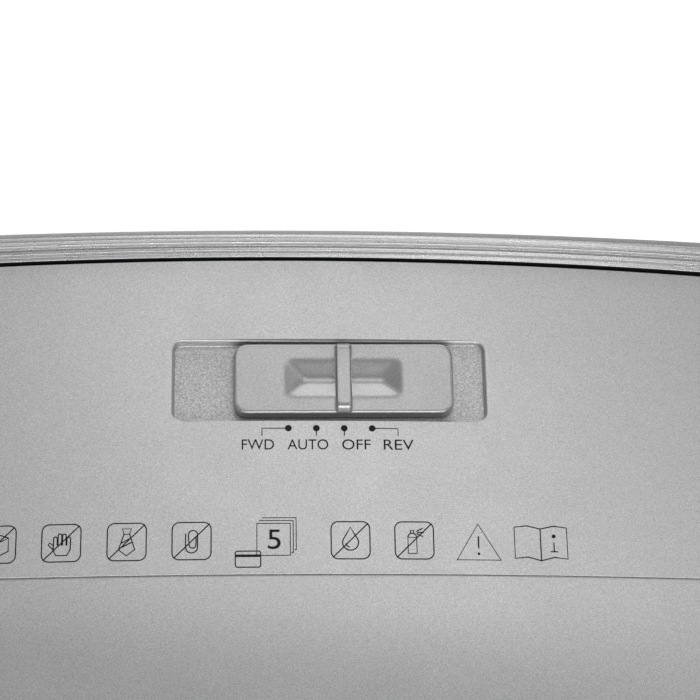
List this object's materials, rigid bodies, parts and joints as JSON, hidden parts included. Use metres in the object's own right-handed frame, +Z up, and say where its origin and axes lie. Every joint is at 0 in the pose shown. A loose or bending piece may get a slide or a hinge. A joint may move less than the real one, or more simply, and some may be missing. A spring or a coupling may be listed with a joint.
{
  "type": "paper shredder",
  "caption": "Desk-side cross-cut paper shredder: a silver head with a ribbed paper guide and a slide switch, lifting off a dark waste bin.",
  "frame": {"origin": "on the floor, under the middle of the shredder", "axes": "+Z up; the control panel's front edge and the nose face -Y; +X is to the right seen from the front"},
  "size_m": [0.32, 0.17, 0.359],
  "materials": {
    "silver_paint": "fine-grained satin silver paint on moulded plastic",
    "charcoal_plastic": "fine moulded texture",
    "black_plastic": "matt moulded black",
    "blade_steel": "ground and hardened",
    "zinc_plate": "zinc plated",
    "sintered_bronze": "sintered",
    "white_nylon": "moulded nylon",
    "rubber": "matt",
    "circuit_board": "solder mask"
  },
  "bodies": {
    "waste_bin": {"waste_bin": "charcoal_plastic", "bin_foot_front_left": "rubber", "bin_foot_front_right": "rubber", "bin_foot_rear_left": "rubber", "bin_foot_rear_right": "rubber"},
    "shredder_head": {"cluster_axle": "blade_steel", "control_board": "circuit_board", "control_panel": "silver_paint", "cord_gland": "rubber", "cover_screw_front_left": "zinc_plate", "cover_screw_front_right": "zinc_plate", "cover_screw_rear_left": "zinc_plate", "cover_screw_rear_right": "zinc_plate", "front_left_bush": "sintered_bronze", "front_right_bush": "sintered_bronze", "front_stripper_comb": "black_plastic", "front_tie_rod": "zinc_plate", "gear_cover": "black_plastic", "interlock_switch": "black_plastic", "left_side_plate": "zinc_plate", "lower_housing": "charcoal_plastic", "motor_case": "zinc_plate", "paper_guide": "silver_paint", "paper_throat": "black_plastic", "rear_left_bush": "sintered_bronze", "rear_right_bush": "sintered_bronze", "rear_stripper_comb": "black_plastic", "rear_tie_rod": "zinc_plate", "right_side_plate": "zinc_plate", "sensor_pivot_pin": "blade_steel", "sensor_switch": "black_plastic", "slide_switch_body": "black_plastic", "start_capacitor": "black_plastic", "thermal_cutout": "black_plastic", "top_cover": "silver_paint"},
    "front_cutter": {"front_cutter": "blade_steel", "front_sync_gear": "blade_steel", "cutter_drive_gear": "blade_steel"},
    "rear_cutter": {"rear_cutter": "blade_steel", "rear_sync_gear": "blade_steel"},
    "gear_cluster": {"cluster_gear": "white_nylon"},
    "motor_rotor": {"motor_pinion": "blade_steel"},
    "switch_slider": {"slider_knob": "silver_paint", "switch_actuator": "white_nylon"},
    "sensor_lever": {"paper_sensor_lever": "white_nylon"}
  },
  "joints": [
    {"name": "head_lift", "type": "slide", "parent": "waste_bin", "child": "shredder_head", "axis": [0, 0, 1], "range_m": [0, 0.12]},
    {"name": "front_cutter_spin", "type": "hinge", "parent": "shredder_head", "child": "front_cutter", "pos_m": [0, 0.02625, 0.292], "axis": [1, 0, 0], "continuous": true},
    {"name": "rear_cutter_spin", "type": "hinge", "parent": "shredder_head", "child": "rear_cutter", "pos_m": [0, 0.05125, 0.292], "axis": [1, 0, 0], "continuous": true},
    {"name": "gear_cluster_spin", "type": "hinge", "parent": "shredder_head", "child": "gear_cluster", "pos_m": [0.13, -0.00667, 0.2897], "axis": [1, 0, 0], "continuous": true},
    {"name": "motor_spin", "type": "hinge", "parent": "shredder_head", "child": "motor_rotor", "pos_m": [0.13, -0.03967, 0.2897], "axis": [1, 0, 0], "continuous": true},
    {"name": "switch_slide", "type": "slide", "parent": "shredder_head", "child": "switch_slider", "axis": [1, 0, 0], "range_m": [-0.0106, 0.0053]},
    {"name": "sensor_tilt", "type": "hinge", "parent": "shredder_head", "child": "sensor_lever", "pos_m": [0, 0.0476, 0.321], "axis": [1, 0, 0], "range_deg": [0, 30], "stiffness_Nm_per_rad": 0.002, "springref_deg": -11.46}
  ],
  "couplings": [
    {"joint": "rear_cutter_spin", "follows": "front_cutter_spin", "ratio": -1},
    {"joint": "gear_cluster_spin", "follows": "front_cutter_spin", "ratio": -2.6667},
    {"joint": "motor_spin", "follows": "front_cutter_spin", "ratio": 12}
  ]
}
